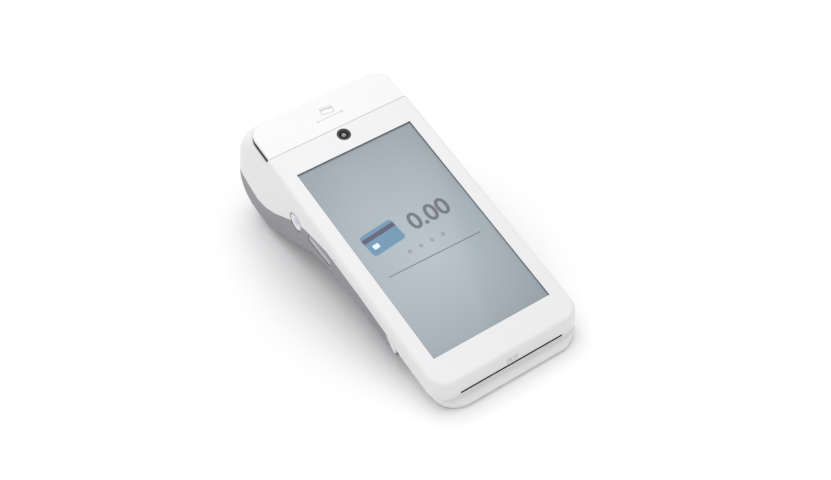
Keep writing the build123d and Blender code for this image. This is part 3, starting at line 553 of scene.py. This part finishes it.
ring_radius, ring_line, ring_pitch = 0.85, 0.28, 6.0
rings = []
for count in range(4):
    bpy.ops.object.select_all(action="DESELECT")
    bpy.ops.mesh.primitive_circle_add(vertices=20, radius=ring_radius * mm, fill_type="NGON")
    bpy.ops.object.mode_set(mode="EDIT")
    bpy.ops.mesh.select_all(action="SELECT")
    bpy.ops.mesh.inset(thickness=ring_line * mm)
    bpy.ops.mesh.delete(type="FACE")
    rings.append(placed(thicken(mark_thick), at(-9.0 + ring_pitch * count, -4.6)))
settle(join(rings), screen_level, "screen_number_places", screen_grey)

bpy.ops.object.select_all(action="DESELECT")
bpy.ops.object.text_add()
amount = bpy.context.active_object
amount.data.body = "0.00"
amount.data.size = 12.5 * mm
amount.data.offset = 0.22 * mm
amount.data.extrude = mark_thick * mm / 2
amount.data.align_x, amount.data.align_y = "CENTER", "CENTER"
only(amount)
bpy.ops.object.convert(target="MESH")
amount = bpy.context.active_object
amount_place = screen_level @ at(9.6, 7.6, mark_thick / 2, 1)
settle(amount, amount_place, "screen_amount", screen_grey)

# %% [markdown]
# The cap plate carries a small printed sign that tells where a card is swiped: a card over a line
# with an arrowhead at each end. The slim end has a sign of a chip card above its slot.


# %% Printed signs
def arrowhead(size, thick):
    """A small triangle, made as a circle of three points."""
    bpy.ops.object.select_all(action="DESELECT")
    bpy.ops.mesh.primitive_circle_add(vertices=3, radius=size * mm, fill_type="NGON")
    bpy.ops.object.mode_set(mode="EDIT")
    return thicken(thick)


swipe_sign = [
    placed(thin_plate(6.4, 4.2, 0.7, mark_thick, 0.28), at(0.6, 1.6, 0, -8)),
    placed(thin_plate(6.0, 0.7, 0, mark_thick), at(0.6, 1.6, 0, -8) @ at(0, 0.8)),
    placed(thin_plate(12.0, 0.3, 0, mark_thick), at(0, -2.4)),
    placed(arrowhead(0.8, mark_thick), at(-6.6, -2.4, 0, 90)),
    placed(arrowhead(0.8, mark_thick), at(6.6, -2.4, 0, -90)),
]
settle(join(swipe_sign), on_face @ at(0, 78.4), "swipe_sign", cap_ink)

face_end = -69.7
wall_slope = 0.2545
sign_depth = 4.7
wall_rake = atan2(wall_slope, 1.0)
wall_place = (0, (face_end - wall_slope * sign_depth) * mm, -sign_depth * mm)
wall_turn = Matrix.Rotation(pi / 2 - wall_rake, 4, "X")
on_wall = on_face @ Matrix.Translation(wall_place) @ wall_turn
chip_sign = [
    placed(thin_plate(5.6, 3.0, 0.5, mark_thick, 0.3), at(0, 0)),
    placed(thin_plate(1.3, 1.0, 0.2, mark_thick), at(-1.1, 0)),
    placed(thin_plate(1.4, 0.24, 0, mark_thick), at(1.2, 0.45)),
    placed(thin_plate(1.4, 0.24, 0, mark_thick), at(1.2, -0.35)),
]
settle(join(chip_sign), on_wall, "chip_card_sign", warm_ink)

# %% [markdown]
# The chip-card slot has a dark mouth: a thin black lining that paints the shade inside the slot. It is a flat
# tube: a block of the slot's size whose two ends are taken away, its lower front edge drawn forward to follow
# the raked wall, given a wall by Solidify.

# %% Dark mouth of the card slot, painted shade
mouth_width, mouth_depth, mouth_height = 54.46, 2.6, 1.16
slot_top, slot_level, set_back = 7.0, 7.6, 0.02
bpy.ops.object.select_all(action="DESELECT")
bpy.ops.mesh.primitive_cube_add(size=1.0)
mouth = bpy.context.active_object
mouth.scale = (mouth_width * mm, mouth_depth * mm, mouth_height * mm)
bpy.ops.object.transform_apply(scale=True)
bpy.ops.object.mode_set(mode="EDIT")
bpy.ops.mesh.select_mode(type="FACE")
bpy.ops.mesh.select_all(action="DESELECT")
bpy.ops.object.mode_set(mode="OBJECT")
for facet in mouth.data.polygons:
    facet.select = abs(facet.normal.y) > 0.9
bpy.ops.object.mode_set(mode="EDIT")
bpy.ops.mesh.delete(type="ONLY_FACE")
bpy.ops.mesh.select_mode(type="VERT")
bpy.ops.mesh.select_all(action="DESELECT")
bpy.ops.object.mode_set(mode="OBJECT")
for corner in mouth.data.vertices:
    corner.select = corner.co.y < 0 and corner.co.z < 0
bpy.ops.object.mode_set(mode="EDIT")
bpy.ops.transform.translate(value=(0, -0.30 * mm, 0))
bpy.ops.object.mode_set(mode="OBJECT")
mouth_wall = mouth.modifiers.new("wall", "SOLIDIFY")
mouth_wall.thickness = 0.12 * mm
bpy.ops.object.modifier_apply(modifier=mouth_wall.name)
mouth_y = face_end - wall_slope * slot_top + set_back + mouth_depth / 2
slot_middle = Matrix.Translation((0, mouth_y * mm, -slot_level * mm))
# The black tube paints the shade inside the chip-card slot.
settle(mouth, on_face @ slot_middle, "card_slot_painted_shade", black_trim)
print("mouth", tuple(round(value * 1000, 2) for value in mouth.dimensions))

# %% [markdown]
# The table is a pale, matt sheet. A very slow noise between two near-whites keeps it from looking
# like an empty background, and its high roughness leaves no mirror image of the terminal.

# %% Floor finish
floor_finish = Finish("pale_table", (0.93, 0.93, 0.93), 0.6)
dim, bright = (0.93, 0.93, 0.93, 1), (0.95, 0.95, 0.95, 1)
floor_finish.set("Base Color", floor_finish.mix(floor_finish.noise(3.0), dim, bright))
floor.data.materials.append(floor_finish.material)
print("floor", floor_finish.material.name)
